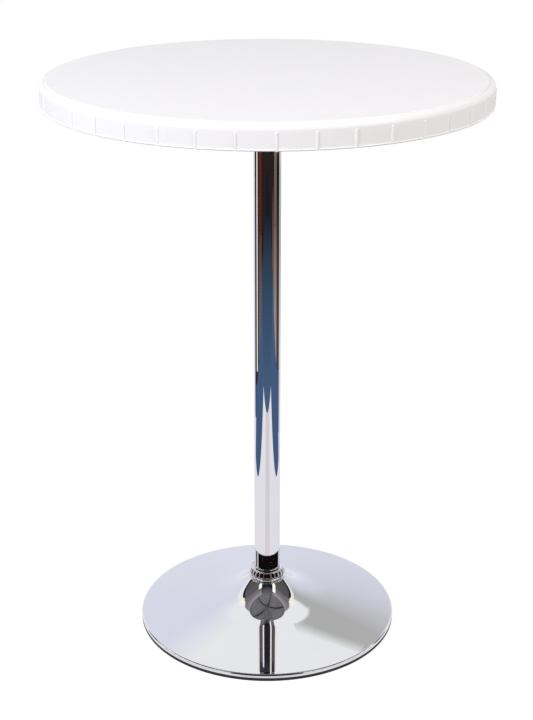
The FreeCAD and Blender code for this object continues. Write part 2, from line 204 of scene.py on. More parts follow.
# Hub and column foot: turned from bar, the foot's spigot dropping into the hub's bore.
# Lathe-turned steel: bright grey rings round the axis, with a thin film of oil.
turned_steel, tree, place = new_finish("lathe_turned_steel")
lathe_feed = 1.2 * mm
rings = add_node(
    tree, "TexWave", {"Vector": place, "Scale": 1 / lathe_feed / full_turn, "Distortion": 0.4},
    wave_type="RINGS", rings_direction="Z",
)
tone = add_node(
    tree, "Mix", {0: rings.outputs["Fac"], 6: linear("#8b8c8e"), 7: linear("#b9b9b8")}, data_type="RGBA"
)
gloss = add_node(tree, "MapRange", {"Value": rings.outputs["Fac"], "To Min": 0.24, "To Max": 0.4})
shader = add_node(
    tree, "BsdfPrincipled",
    {"Base Color": tone.outputs[2], "Metallic": 1.0, "Roughness": gloss.outputs["Result"]},
)
add_node(tree, "OutputMaterial", {"Surface": shader.outputs["BSDF"]})
dress(turned_steel, "base_hub", "column_foot")

# Base shell: the trumpet cover, spun from steel sheet over a former, polished and chrome plated.
# Its lip stands on the rubber ring, and its neck is held down by the bead ring on the hub.
# Bright chrome plate: a cool mirror, dulled a little where hands and cloths have left a haze.
chrome, tree, place = new_finish("bright_chrome_plate")
haze = add_node(tree, "TexNoise", {"Vector": place, "Scale": 1 / (60 * mm), "Detail": 5.0})
gloss = add_node(
    tree, "MapRange",
    {"Value": haze.outputs["Fac"], "From Min": 0.45, "From Max": 0.8, "To Min": 0.012, "To Max": 0.06},
)
tone = add_node(
    tree, "Mix", {0: haze.outputs["Fac"], 6: linear("#e9e9ec"), 7: linear("#e2e3e7")}, data_type="RGBA"
)
shader = add_node(
    tree, "BsdfPrincipled",
    {"Base Color": tone.outputs[2], "Metallic": 1.0, "Roughness": gloss.outputs["Result"]},
)
add_node(tree, "OutputMaterial", {"Surface": shader.outputs["BSDF"]})

base_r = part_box("base_shell")[1].x
neck_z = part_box("base_shell")[1].z
hub_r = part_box("slip_washer")[1].x
neck_gap = 0.1 * mm
neck_bore_r = hub_r + neck_gap
neck_edge_r = 0.6 * mm
rim_h = 13.5 * mm
rim_edge_r = 4 * mm
sheet = 1.5 * mm
disc_slope = math.radians(10)
flare_turn = math.radians(26)
flare_r = 180 * mm
neck_flare_r = 135 * mm
flare_start_r = 124 * mm
rim_centre_z = rim_h + rim_edge_r * (math.tan(disc_slope) - 1 / math.cos(disc_slope))
flare_start_z = rim_h + (base_r - flare_start_r) * math.tan(disc_slope)
flare_centre = (
    flare_start_r + flare_r * math.sin(disc_slope),
    flare_start_z + flare_r * math.cos(disc_slope),
)
neck_centre = (
    flare_centre[0] - (flare_r - neck_flare_r) * math.sin(flare_turn),
    flare_centre[1] - (flare_r - neck_flare_r) * math.cos(flare_turn),
)
rim_centre = (base_r - rim_edge_r, rim_centre_z)


def arc(centre, radius, start, end, count):
    """Points on an arc in the section, from one angle to another."""
    angles = [start + (end - start) * k / count for k in range(count + 1)]
    return [(centre[0] + radius * math.cos(a), centre[1] + radius * math.sin(a)) for a in angles]


def straight(start, end, count):
    """Points between two others, so that the shading of a long flank stays true to its ends."""
    return [tuple(Vector(start).lerp(end, k / count)) for k in range(1, count)]


def shell_face(inset):
    """One face of the shell from the lip to the neck, set in from the outer face."""
    rim = arc(rim_centre, rim_edge_r - inset, 0, math.pi / 2 - disc_slope, 12)
    flare = arc(flare_centre, flare_r + inset, -math.pi / 2 - disc_slope, -math.pi / 2 - flare_turn, 24)
    neck_angle = math.asin((neck_centre[1] - neck_z + inset) / (neck_flare_r + inset)) - math.pi
    neck = arc(neck_centre, neck_flare_r + inset, -math.pi / 2 - flare_turn, neck_angle, 40)
    ledge = [neck[-1] + (neck_edge_r,), (neck_bore_r, neck_z - inset)]
    return [(base_r - inset, seat_z)] + rim + straight(rim[-1], flare[0], 24) + flare + neck[1:-1] + ledge


shell = turn(shell_face(0) + shell_face(sheet)[::-1], steps=288)
add_piece("chromed_base_shell", shell, chrome, "table", "chrome", "base_shell")

# Bead ring: the smooth chromed nut that clamps the shell's neck down on the hub's thread.
# Turned from bar with a fully rounded rim, polished and chrome plated.
bead_low, bead_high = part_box("neck_ring")
bead_r = bead_high.x
bead_round = (bead_high.z - bead_low.z) / 2
bead_flank = arc((bead_r - bead_round, bead_low.z + bead_round), bead_round, -math.pi / 2, math.pi / 2, 16)
bead_ring = turn([(neck_bore_r, bead_low.z)] + bead_flank + [(neck_bore_r, bead_high.z)], steps=160)
add_piece("chromed_bead_ring", bead_ring, chrome, "table", "chrome", "neck_ring")

# Column: one straight steel tube, 50.8 mm across, polished and chrome plated.
# Its foot stands on the turned foot's flange, and its head is held in the socket of the cross.
tube_low, tube_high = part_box("column_tube")
tube_r = tube_high.x
tube_wall = 1.5 * mm
tube_edge = 0.3 * mm
edge_guard = 1 * mm
tube_ends = [(tube_r, tube_low.z + edge_guard), (tube_r, tube_high.z - edge_guard)]
column = turn(
    [(tube_r - tube_wall, tube_low.z), (tube_r, tube_low.z, tube_edge)]
    + [tube_ends[0]] + straight(*tube_ends, 24) + [tube_ends[1]]
    + [(tube_r, tube_high.z, tube_edge), (tube_r - tube_wall, tube_high.z)],
    steps=160,
)
add_piece("chromed_column", column, chrome, "table", "chrome", "column_tube")

# Slip washer: the thin ring between the column's foot and the lock ring, cut from nylon sheet.
# As wide as the hub's thread, it lies loose in the lock ring and keeps that ring from scoring the foot.
# Natural nylon: milky and waxy, a little yellow where it is thin.
nylon, tree, place = new_finish("natural_nylon")
cloud = add_node(tree, "TexNoise", {"Vector": place, "Scale": 1 / (8 * mm), "Detail": 3.0})
tone = add_node(
    tree, "Mix", {0: cloud.outputs["Fac"], 6: linear("#e6e0cf"), 7: linear("#f0ece0")}, data_type="RGBA"
)
shader = add_node(
    tree, "BsdfPrincipled",
    {"Base Color": tone.outputs[2], "Roughness": 0.38, "IOR": 1.53, "Subsurface Weight": 0.2,
     "Subsurface Scale": 1 * mm},
)
add_node(tree, "OutputMaterial", {"Surface": shader.outputs["BSDF"]})
washer_low, washer_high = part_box("slip_washer")
washer_edge = 0.2 * mm
running_gap = 0.3 * mm
hole_r = tube_r + running_gap
slip_ring = turn(
    [
        (hole_r, washer_low.z, washer_edge),
        (washer_high.x, washer_low.z, washer_edge),
        (washer_high.x, washer_high.z, washer_edge),
        (hole_r, washer_high.z, washer_edge),
    ],
    steps=96,
)
add_piece("nylon_slip_washer", slip_ring, nylon, "slip_washer", "nylon", "slip_washer")

# Lock ring: the lobed nut that draws the column's foot down on the hub, with a smooth rim below
# its tapered grip and a rounded lip round its dished top. Turned from bar and chrome plated.
lock_low, lock_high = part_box("lock_ring")
lock_rim_r = lock_high.x
lock_rim_round = 0.8 * mm
lock_rim_h = 3.4 * mm
lock_rim_z = lock_low.z + lock_rim_h
lobe_count = 24
lobe_steps = 14
lobe_turn_share = 0.7
lobe_depth = 1.5 * mm
grip_foot_setback = 0.65 * mm
grip_head_setback = 3.6 * mm
grip_foot_r = lock_rim_r - grip_foot_setback
grip_head_r = lock_rim_r - grip_head_setback
grip_edge_r = 0.5 * mm
lip_w = 2.6 * mm
lip_h = 1.4 * mm
lip_setback = 0.9 * mm
lip_r = grip_head_r - lip_setback
hair = 0.01 * mm
lip_centre = (lip_r - lip_w / 2, lock_high.z - lip_w / 2)
dish_z = lock_high.z - lip_h
lock_bore_r = hub_r + running_gap
shoulder_z = washer_high.z
rim_top = (lock_rim_r - lock_rim_round, lock_rim_z - lock_rim_round)
lock_ring = turn(
    [(lock_bore_r, lock_low.z), (lock_rim_r, lock_low.z, lock_rim_round)]
    + arc(rim_top, lock_rim_round, 0, math.radians(75), 6)
    + [(grip_foot_r, lock_rim_z)]
    + straight((grip_foot_r, lock_rim_z), (grip_head_r, dish_z), 10)
    + [(grip_head_r, dish_z, grip_edge_r), (lip_r, dish_z)]
    + arc(lip_centre, lip_w / 2, 0, math.pi, 14)
    + [(hole_r, dish_z), (hole_r, shoulder_z), (lock_bore_r, shoulder_z)],
    steps=lobe_count * lobe_steps,
)
for corner in lock_ring.verts:
    radius = corner.co.xy.length
    if corner.co.z > lock_rim_z - hair and radius > lip_r + hair:
        angle = math.atan2(corner.co.y, corner.co.x)
        lobe_angle = lobe_count * angle / 2 - math.pi * lobe_turn_share
        corner.co.xy *= 1 - lobe_depth * (1 - abs(math.cos(lobe_angle))) / radius
add_piece("knurled_lock_ring", lock_ring, chrome, "lock_ring", "chrome", "lock_ring")

# Cross: four square steel tubes welded to a socket that slides over the column's head.
# Powder coated satin black after welding, so the coat runs over the welds and rounds every edge.
# Powder coat: satin black with the fine orange-peel swell of baked powder.
powder, tree, place = new_finish("black_powder_coat")
swell = add_node(tree, "TexNoise", {"Vector": place, "Scale": 1 / (2.2 * mm), "Detail": 2.0})
patch = add_node(tree, "TexNoise", {"Vector": place, "Scale": 1 / (80 * mm)})
tone = add_node(
    tree, "Mix", {0: patch.outputs["Fac"], 6: linear("#131314"), 7: linear("#1f1f21")}, data_type="RGBA"
)
skin = add_node(tree, "Bump", {"Height": swell.outputs["Fac"], "Strength": 0.5, "Distance": 0.12 * mm})
shader = add_node(
    tree, "BsdfPrincipled",
    {"Base Color": tone.outputs[2], "Roughness": 0.36, "IOR": 1.5, "Normal": skin.outputs["Normal"]},
)
add_node(tree, "OutputMaterial", {"Surface": shader.outputs["BSDF"]})

socket_low, socket_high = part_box("spider_socket")
socket_r = socket_high.x
socket_wall = 4 * mm
socket_bore_r = socket_r - socket_wall
socket_edge = 0.8 * mm
socket = turn(
    [
        (socket_bore_r, socket_low.z, socket_edge),
        (socket_r, socket_low.z, socket_edge),
        (socket_r, socket_high.z, socket_edge),
        (socket_bore_r, socket_high.z, socket_edge),
    ],
    steps=96,
)
add_piece("cross_socket", socket, powder, "table", "black_steel", "spider_socket")

arm_low, arm_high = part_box("spider_arm_1")
arm_half_w = arm_high.y
arm_mid_z = (arm_low.z + arm_high.z) / 2
arm_corner_r = 2.5 * mm
arm_wall = 2 * mm
lie_along_x = Matrix.Rotation(math.pi / 2, 4, "Y")
arm_count = 4
for number in range(arm_count):
    arm = bmesh.new()
    section_place = Matrix.Translation((arm_low.x, 0, arm_mid_z)) @ lie_along_x
    bmesh.ops.create_grid(arm, x_segments=1, y_segments=1, size=arm_half_w, matrix=section_place)
    bmesh.ops.bevel(
        arm, geom=arm.verts[:], offset=arm_corner_r, segments=6, profile=0.5, affect="VERTICES", material=-1
    )
    section = arm.faces[:]
    walls = bmesh.ops.extrude_edge_only(arm, edges=arm.edges[:])["geom"]
    far_end = [corner for corner in walls if isinstance(corner, bmesh.types.BMVert)]
    bmesh.ops.translate(arm, verts=far_end, vec=(arm_high.x - arm_low.x, 0, 0))
    bmesh.ops.delete(arm, geom=section, context="FACES_ONLY")
    bmesh.ops.recalc_face_normals(arm, faces=arm.faces[:])
    bmesh.ops.solidify(arm, geom=arm.faces[:], thickness=arm_wall)
    quarter = Matrix.Rotation(full_turn * number / arm_count, 3, "Z")
    bmesh.ops.rotate(arm, verts=arm.verts[:], cent=(0, 0, 0), matrix=quarter)
    name = f"cross_arm_{number + 1}"
    add_piece(name, arm, powder, "table", "black_steel", f"spider_arm_{number + 1}")

# Socket plate, head bolt and washer: they draw the column's tapped plug up into the socket.
# The plate is welded in and coated with the cross; the bolt and washer are zinc plated.
dress(powder, "socket_plate")
dress(zinc, "head_bolt", "head_washer")
dress(turned_steel, "column_head_plug")

# Arm caps: black plugs pushed into the open ends of the arms, moulded in polyethylene.
# Each has a rounded face as wide as the tube, and a stem that fits inside it.
# Moulded polyethylene: soft black, waxy and finely grained.
polyethylene, tree, place = new_finish("moulded_black_polyethylene")
grain = add_node(tree, "TexNoise", {"Vector": place, "Scale": 1 / (0.9 * mm), "Detail": 2.0})
tone = add_node(
    tree, "Mix", {0: grain.outputs["Fac"], 6: linear("#0f0f10"), 7: linear("#1c1c1e")}, data_type="RGBA"
)
skin = add_node(tree, "Bump", {"Height": grain.outputs["Fac"], "Strength": 0.3, "Distance": 0.08 * mm})
shader = add_node(
    tree, "BsdfPrincipled",
    {"Base Color": tone.outputs[2], "Roughness": 0.5, "IOR": 1.51, "Normal": skin.outputs["Normal"]},
)
add_node(tree, "OutputMaterial", {"Surface": shader.outputs["BSDF"]})

cap_low, cap_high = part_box("arm_cap_1")
stem_l = arm_high.x - cap_low.x
cap_t = cap_high.x - arm_high.x
cap_edge_r = 1.2 * mm
stem_gap = 0.1 * mm
for number in range(arm_count):
    cap = bmesh.new()
    face_place = Matrix.Translation((arm_high.x + cap_t / 2, 0, arm_mid_z))
    face_size = Matrix.Diagonal((cap_t, 2 * arm_half_w, 2 * arm_half_w, 1))
    bmesh.ops.create_cube(cap, size=1, matrix=face_place @ face_size)
    uprights = [edge for edge in cap.edges if abs((edge.verts[1].co - edge.verts[0].co).x) > cap_t / 2]
    bmesh.ops.bevel(
        cap, geom=uprights, offset=arm_corner_r, segments=6, profile=0.5, affect="EDGES", material=-1
    )
    outer_rim = [edge for edge in cap.edges if all(v.co.x > arm_high.x + cap_t / 2 for v in edge.verts)]
    bmesh.ops.bevel(
        cap, geom=outer_rim, offset=cap_edge_r, segments=5, profile=0.5, affect="EDGES", material=-1
    )
    back = min(cap.faces, key=lambda face: face.calc_center_median().x)
    bmesh.ops.inset_region(cap, faces=[back], thickness=arm_wall + stem_gap)
    stem = bmesh.ops.extrude_face_region(cap, geom=[back])["geom"]
    stem_end = [corner for corner in stem if isinstance(corner, bmesh.types.BMVert)]
    bmesh.ops.translate(cap, verts=stem_end, vec=(-stem_l, 0, 0))
    bmesh.ops.delete(cap, geom=[back], context="FACES_ONLY")
    bmesh.ops.recalc_face_normals(cap, faces=cap.faces[:])
    quarter = Matrix.Rotation(full_turn * number / arm_count, 3, "Z")
    bmesh.ops.rotate(cap, verts=cap.verts[:], cent=(0, 0, 0), matrix=quarter)
    name = f"arm_end_plug_{number + 1}"
    add_piece(name, cap, polyethylene, "table", "black_polyethylene", f"arm_cap_{number + 1}")

# Table top: one white moulding, 800 mm across, in polypropylene. The flat field stands a step above
# a rounded border; beads stand on the skirt, and webs and screw bosses stiffen it below.
top_low, top_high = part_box("table_top")
top_z = top_high.z
skirt_z = top_low.z
top_r = 400 * mm
border_w = 11 * mm
border_round_r = 9.6 * mm
field_step_h = 2 * mm
field_edge_r = 1.8 * mm
field_wall = 5 * mm
skirt_wall = 4 * mm
inner_corner_r = 7 * mm
hem_h = 3.4 * mm
hem_proud = 1.2 * mm
field_r = top_r - border_w
border_z = top_z - field_step_h
skirt_top_z = border_z - border_round_r
field_end_r = field_r - field_edge_r - edge_guard
under_z = top_z - field_wall
inner_r = top_r - skirt_wall
border = arc((top_r - border_round_r, skirt_top_z), border_round_r, math.pi / 2, 0, 16)
hem_steps = 8
hem_shares = [k / hem_steps for k in range(hem_steps + 1)]
hem = [(top_r + hem_proud * math.sin(math.pi * s), skirt_z + hem_h * (1 - s)) for s in hem_shares]
top = turn(
    [(0, top_z)]
    + straight((0, top_z), (field_end_r, top_z), 6)
    + [(field_end_r, top_z), (field_r, top_z, field_edge_r), (field_r, border_z)]
    + border
    + straight(border[-1], hem[0], 4)
    + hem
    + [(inner_r, skirt_z), (inner_r, under_z, inner_corner_r)]
    + straight((inner_r, under_z), (0, under_z), 6)
    + [(0, under_z)],
    steps=360,
    closed=False,
)


def ring_of(mesh, count):
    """Repeat everything in the mesh, evenly spaced round the column's axis."""
    bmesh.ops.spin(
        mesh, geom=mesh.verts[:] + mesh.edges[:] + mesh.faces[:], cent=(0, 0, 0), axis=(0, 0, 1),
        angle=full_turn * (count - 1) / count, steps=count - 1, use_duplicate=True,
    )


def add_to(mesh, extra):
    """Put a second mesh into the first, as its own closed body."""
    spare = bpy.data.meshes.new("spare")
    extra.to_mesh(spare)
    extra.free()
    mesh.from_mesh(spare)
    bpy.data.meshes.remove(spare)


bead_count = 40
bead_turn_share = 0.2
bead_w = 5 * mm
bead_proud = 1.6 * mm
bead_drop = 1.2 * mm
bead_curve_r = ((bead_w / 2) ** 2 + bead_proud ** 2) / (2 * bead_proud)
bead_head_z = skirt_top_z - bead_drop - bead_w / 2
bead_turn = Matrix.Rotation(full_turn * bead_turn_share / bead_count, 3, "Z")
beads = bmesh.new()
bead_place = Matrix.Translation((top_r + bead_proud - bead_curve_r, 0, bead_head_z))
bmesh.ops.create_uvsphere(beads, u_segments=20, v_segments=12, radius=bead_curve_r, matrix=bead_place)
for corner in beads.verts:
    if corner.co.z < bead_head_z - hair:
        corner.co.z = skirt_z
bmesh.ops.rotate(beads, verts=beads.verts[:], cent=(0, 0, 0), matrix=bead_turn)
ring_of(beads, bead_count)
add_to(top, beads)

boss_r = 7.5 * mm
web_w = 2.6 * mm
web_edge = 0.4 * mm
web_gap = 1 * mm
web_z = arm_high.z + web_gap
web_root = 1 * mm
web_root_z = under_z + web_root
ring_web_shares = (0.24, 0.50, 0.76)
for share in ring_web_shares:
    inside = share * field_r - web_w / 2
    outside = inside + web_w
    ring_web = turn(
        [(inside, web_root_z), (inside, web_z, web_edge), (outside, web_z, web_edge), (outside, web_root_z)],
        steps=180,
    )
    add_to(top, ring_web)

web_start_r = ring_web_shares[0] * field_r
web_corner = (inner_r - inner_corner_r, under_z - inner_corner_r)
web_corner_r = inner_corner_r + web_root
web_end = arc(web_corner, web_corner_r, math.asin((web_z - web_corner[1]) / web_corner_r), math.pi / 2, 6)
webs = bmesh.new()
web_outline = [(web_start_r, web_z)] + web_end + [(web_start_r, web_root_z)]
web_face = webs.faces.new([webs.verts.new((radius, -web_w / 2, height)) for radius, height in web_outline])
web_body = bmesh.ops.extrude_face_region(webs, geom=[web_face])["geom"]
other_side = [corner for corner in web_body if isinstance(corner, bmesh.types.BMVert)]
bmesh.ops.translate(webs, verts=other_side, vec=(0, web_w, 0))
bmesh.ops.recalc_face_normals(webs, faces=webs.faces[:])
web_foot = [edge for edge in webs.edges if all(v.co.z < web_z + hair for v in edge.verts)]
bmesh.ops.bevel(
    webs, geom=web_foot, offset=web_edge, segments=2, profile=0.5, affect="EDGES", material=-1
)
bmesh.ops.rotate(webs, verts=webs.verts[:], cent=(0, 0, 0), matrix=bead_turn)
ring_of(webs, bead_count)
add_to(top, webs)

screw_shares = (0.42, 0.90)
screw_places = [share * arm_high.x for share in screw_shares]
for boss_place in screw_places:
    boss = turn(
        [(0, web_root_z), (boss_r, web_root_z), (boss_r, arm_high.z, web_edge), (0, arm_high.z)],
        steps=48,
        closed=False,
    )
    bmesh.ops.translate(boss, verts=boss.verts[:], vec=(boss_place, 0, 0))
    ring_of(boss, arm_count)
    add_to(top, boss)

# Moulded polypropylene: cool white and waxy, with a fine grain on the field to hide scratches.
# Such a grain is often about 0.4 mm; it is drawn at 2.5 mm so that it still shows at arm's length.
polypropylene, tree, place = new_finish("moulded_white_polypropylene")
grain = add_node(tree, "TexNoise", {"Vector": place, "Scale": 1 / (2.5 * mm), "Detail": 3.0})
drift = add_node(tree, "TexNoise", {"Vector": place, "Scale": 1 / (160 * mm), "Detail": 2.0})
tone = add_node(
    tree, "Mix", {0: drift.outputs["Fac"], 6: linear("#f1eff2"), 7: linear("#eeedf0")}, data_type="RGBA"
)
fleck = add_node(
    tree, "Mix", {0: grain.outputs["Fac"], 6: linear("#e9e7ea"), 7: linear("#f7f6f8")}, data_type="RGBA"
)
colour = add_node(
    tree, "Mix", {0: 0.5, 6: tone.outputs[2], 7: fleck.outputs[2]}, data_type="RGBA"
)
gloss = add_node(tree, "MapRange", {"Value": grain.outputs["Fac"], "To Min": 0.36, "To Max": 0.52})
skin = add_node(tree, "Bump", {"Height": grain.outputs["Fac"], "Strength": 0.25, "Distance": 0.1 * mm})
shader = add_node(
    tree, "BsdfPrincipled",
    {
        "Base Color": colour.outputs[2], "Roughness": gloss.outputs["Result"], "IOR": 1.49,
        "Normal": skin.outputs["Normal"],
    },
)
add_node(tree, "OutputMaterial", {"Surface": shader.outputs["BSDF"]})
add_piece("moulded_table_top", top, polypropylene, "table", "white_polypropylene", "table_top")

# Top screws and washers: eight pan-head screws, up through the arms into the top's bosses.
# Cold headed with a square drive and zinc plated, each on a flat washer.
washers_low, washers_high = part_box("screw_washers")
screw_low, screw_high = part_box("top_screws")
washer_r = 7 * mm
screw_r = 2.5 * mm
head_r = 5 * mm
head_dome = 1.7 * mm
drive_half = 1.4 * mm
drive_rim_r = 2.4 * mm
head_z = screw_low.z
seat = washers_low.z
for ring_number, screw_place in enumerate(screw_places, start=1):
    screw = turn(
        [
            (drive_rim_r, head_z), (head_r, head_z, head_dome), (head_r, seat), (screw_r, seat),
            (screw_r, screw_high.z), (0, screw_high.z),
        ],
        steps=32,
        closed=False,
    )
    drive_rim = [edge for edge in screw.edges if edge.is_boundary]
    grid_place = Matrix.Translation((0, 0, head_z))
    drive = bmesh.ops.create_grid(screw, x_segments=1, y_segments=1, size=drive_half, matrix=grid_place)
    drive_face = drive["verts"][0].link_faces[0]
    bmesh.ops.bridge_loops(screw, edges=drive_rim + drive_face.edges[:])
    recess = bmesh.ops.extrude_face_region(screw, geom=[drive_face])["geom"]
    recess_floor = [corner for corner in recess if isinstance(corner, bmesh.types.BMVert)]
    bmesh.ops.translate(screw, verts=recess_floor, vec=(0, 0, head_dome))
    bmesh.ops.delete(screw, geom=[face for face in screw.faces if face == drive_face], context="FACES_ONLY")
    bmesh.ops.recalc_face_normals(screw, faces=screw.faces[:])
    bmesh.ops.translate(screw, verts=screw.verts[:], vec=(screw_place, 0, 0))
    ring_of(screw, arm_count)
    add_piece(f"pan_head_screws_{ring_number}", screw, zinc, "table", "zinc_steel", "top_screws")
    washer = turn(
        [
            (screw_r, washers_low.z), (washer_r, washers_low.z, washer_edge),
            (washer_r, washers_high.z, washer_edge), (screw_r, washers_high.z),
        ],
        steps=48,
    )
    bmesh.ops.translate(washer, verts=washer.verts[:], vec=(screw_place, 0, 0))
    ring_of(washer, arm_count)
    add_piece(f"flat_washers_{ring_number}", washer, zinc, "table", "zinc_steel", "screw_washers")

# Camera: eye height in front of the table, looking a little down on its top.
# The lens is the one that gives the photograph's own perspective on a 36 mm frame.
camera_turn = math.radians(-27.2)
camera_distance = 2.568
camera_height = 1.5647
camera_side = -0.00137
camera_pitch = 0.3768
lens_mm = 72.66
studio_turn = Matrix.Rotation(camera_turn, 4, "Z")
camera_data = bpy.data.cameras.new("camera")
camera_data.lens = lens_mm
camera = bpy.data.objects.new("camera", camera_data)
camera.location = studio_turn @ Vector((camera_side, -camera_distance, camera_height))
camera.rotation_euler = (math.pi / 2 - camera_pitch, 0, camera_turn)
bpy.context.scene.collection.objects.link(camera)
bpy.context.scene.camera = camera
bpy.context.scene.view_settings.view_transform = "Standard"

# Studio floor: a plain white sheet that keeps the table's shadow and is not drawn from below.
# It gives back little of the light that falls on it, so the underside of the top stays shaded.
floor_finish, tree, place = new_finish("white_paper_floor")
path = add_node(tree, "LightPath", {})
seen = add_node(
    tree, "Math", {0: path.outputs["Is Camera Ray"], 1: path.outputs["Is Glossy Ray"]}, operation="MAXIMUM"
)
paper_share = 0.2
paper = add_node(tree, "BsdfDiffuse", {"Color": (paper_share, paper_share, paper_share, 1)})
glow_colour = add_node(
    tree, "Mix",
    {0: path.outputs["Is Camera Ray"], 6: linear("#dcd9df"), 7: linear("#f0f0f0")},
    data_type="RGBA",
)
glow = add_node(tree, "Emission", {"Color": glow_colour.outputs[2], "Strength": seen.outputs[0]})
sheet_face = add_node(tree, "AddShader", {0: paper.outputs[0], 1: glow.outputs[0]})
clear = add_node(tree, "BsdfTransparent", {})
sheet_side = add_node(tree, "NewGeometry", {})
shown = add_node(
    tree, "MixShader", {0: sheet_side.outputs["Backfacing"], 1: sheet_face.outputs[0], 2: clear.outputs[0]}
)
add_node(tree, "OutputMaterial", {"Surface": shown.outputs[0]})


def add_stage(name, mesh, finish):
    """Floor or backdrop that is not part of the table, turned to face the camera."""
    bmesh.ops.transform(mesh, matrix=studio_turn, verts=mesh.verts[:])
    data = bpy.data.meshes.new(name)
    mesh.to_mesh(data)
    mesh.free()
    data.materials.append(finish)
    made = bpy.data.objects.new(name, data)
    bpy.context.scene.collection.objects.link(made)
    return made


floor_half = 30.0
floor_mesh = bmesh.new()
bmesh.ops.create_grid(floor_mesh, x_segments=1, y_segments=1, size=floor_half)
add_stage("studio_floor", floor_mesh, floor_finish)


# Room round the paper: a blue carpet, brown boards, dark walls with a pale rail to the left and right of
# the camera, a grey ceiling and a pale backdrop. They are plain cards that glow, seen only in reflections,
# above all in the chrome: they add no diffuse light, cast no shadow and are not seen direct.
def add_reflected(name, mesh, measure, start, end, colours, level=1.0):
    """A surface of the room that shows only in reflections. Its colour changes with height or distance."""
    card_finish, tree, place = new_finish(name)
    card_finish.cycles.emission_sampling = "NONE"
    if measure == "height":
        reading = add_node(tree, "SeparateXYZ", {"Vector": place}).outputs["Z"]
    else:
        reading = add_node(tree, "VectorMath", {0: place}, operation="LENGTH").outputs["Value"]
    share = add_node(tree, "MapRange", {"Value": reading, "From Min": start, "From Max": end})
    tone = add_node(
        tree, "Mix",
        {0: share.outputs["Result"], 6: linear(colours[0]), 7: linear(colours[1])},
        data_type="RGBA",
    )
    glow = add_node(tree, "Emission", {"Color": tone.outputs[2], "Strength": level})
    add_node(tree, "OutputMaterial", {"Surface": glow.outputs[0]})
    card = add_stage(name, mesh, card_finish)
    card.visible_camera = False
    card.visible_diffuse = False
    card.visible_shadow = False
    card.visible_transmission = False


def level_card(name, colours, near, far, height, *corners):
    """A level card with (right, away) corners, coloured by its distance in space from the table's foot."""
    mesh = bmesh.new()
    mesh.faces.new([mesh.verts.new((right, away, height)) for right, away in corners])
    add_reflected(name, mesh, "distance", near, far, colours)


def sweep(distance, first_deg, last_deg):
    """Points (right, away) on an arc round the table. Angles run from the camera's side to the right."""
    return arc((0, 0), distance, math.radians(first_deg - 90), math.radians(last_deg - 90), 16)


def floor_sector(name, colours, first_deg, last_deg, near, far):
    """A piece of the floor between two distances from the table and two angles."""
    corners = sweep(near, first_deg, last_deg) + sweep(far, last_deg, first_deg)
    level_card(name, colours, near, far, boards_lift, *corners)


def wall_card(name, colours, distance, first_deg, last_deg, low, high, last_high=None, level=1.0):
    """A curved card that stands round the table, coloured from foot to head. Its head may slant."""
    foot = sweep(distance, first_deg, last_deg)
    slant = (last_high - high) / (len(foot) - 1) if last_high else 0
    mesh = bmesh.new()
    feet = [mesh.verts.new((right, away, low)) for right, away in foot]
    heads = [mesh.verts.new((right, away, high + slant * k)) for k, (right, away) in enumerate(foot)]
    for k in range(len(foot) - 1):
        mesh.faces.new((feet[k], feet[k + 1], heads[k + 1], heads[k]))
    add_reflected(name, mesh, "height", low, high, colours, level)


boards_lift = 0.5 * mm
carpet_lift = 1 * mm
boards_end = 6.0
room_left = -120
room_right = 119
left_corner = -75
far_left = -101
front_left = -49
front_right = 42
bright_right = 58
far_right = 85
floor_sector("boards_far_left", ("#3a2e31", "#1c1113"), -125, far_left, 1.0, boards_end)
floor_sector("boards_left", ("#3c302c", "#15100e"), far_left, left_corner, 0.9, boards_end)
floor_sector("boards_left_near", ("#85746a", "#5a4038"), left_corner, -46, 1.2, 2.7)
floor_sector("boards_left_rust", ("#5a2c22", "#7d3222"), left_corner, front_left, 2.7, boards_end)
floor_sector("boards_front", ("#2c2421", "#2c2421"), front_left, front_right, 1.6, boards_end)
floor_sector("boards_right_middle", ("#8a776e", "#3a2f2b"), front_right, bright_right, 1.6, 3.4)
floor_sector("boards_right_shade", ("#2c2320", "#15100e"), front_right, bright_right, 3.4, boards_end)
floor_sector("boards_right_near", ("#bba89d", "#7d6a63"), bright_right, far_right, 1.2, 2.8)
floor_sector("boards_right", ("#75625c", "#7d7072"), bright_right, far_right, 2.8, boards_end)
floor_sector("boards_far_right", ("#5a4a45", "#1d1715"), far_right, room_right, 0.9, 3.6)
floor_sector("boards_corner_right", ("#1d1715", "#5c4a44"), far_right, room_right, 3.6, boards_end)
carpet_blue = ("#4b6489", "#4b6489")
left_outer, left_inner = (-1.67, -1.55), (-0.65, -1.05)
right_inner, right_outer = (0.65, -1.05), (1.67, -1.55)
level_card(
    "carpet_left", carpet_blue, 1.0, 2.0, carpet_lift, left_outer, left_inner, (-0.65, 0.4), (-1.16, 0.4)
)
level_card(
    "carpet_right", carpet_blue, 1.0, 2.0, carpet_lift, right_inner, right_outer, (1.29, 0.37), (0.65, 0.37)
)
level_card(
    "carpet_front", ("#4d6987", "#1c202c"), 1.1, 3.0, carpet_lift,
    left_outer, left_inner, right_inner, right_outer, (1.3, -2.6), (0.6, -3.6), (-0.3, -3.6), (-1.1, -2.6),
)
# Paper front: a card a little greyer than the paper, over its front part and seen only in reflections. It is
# painted shade, where less light falls towards the paper's front edge.
level_card(
    "paper_front_painted_shade", ("#eae5e8", "#e6dfe1"), 0.26, 1.05, carpet_lift,
    (-0.25, -1.05), (0.35, -1.05), (0.12, -0.26), (-0.09, -0.26),
)

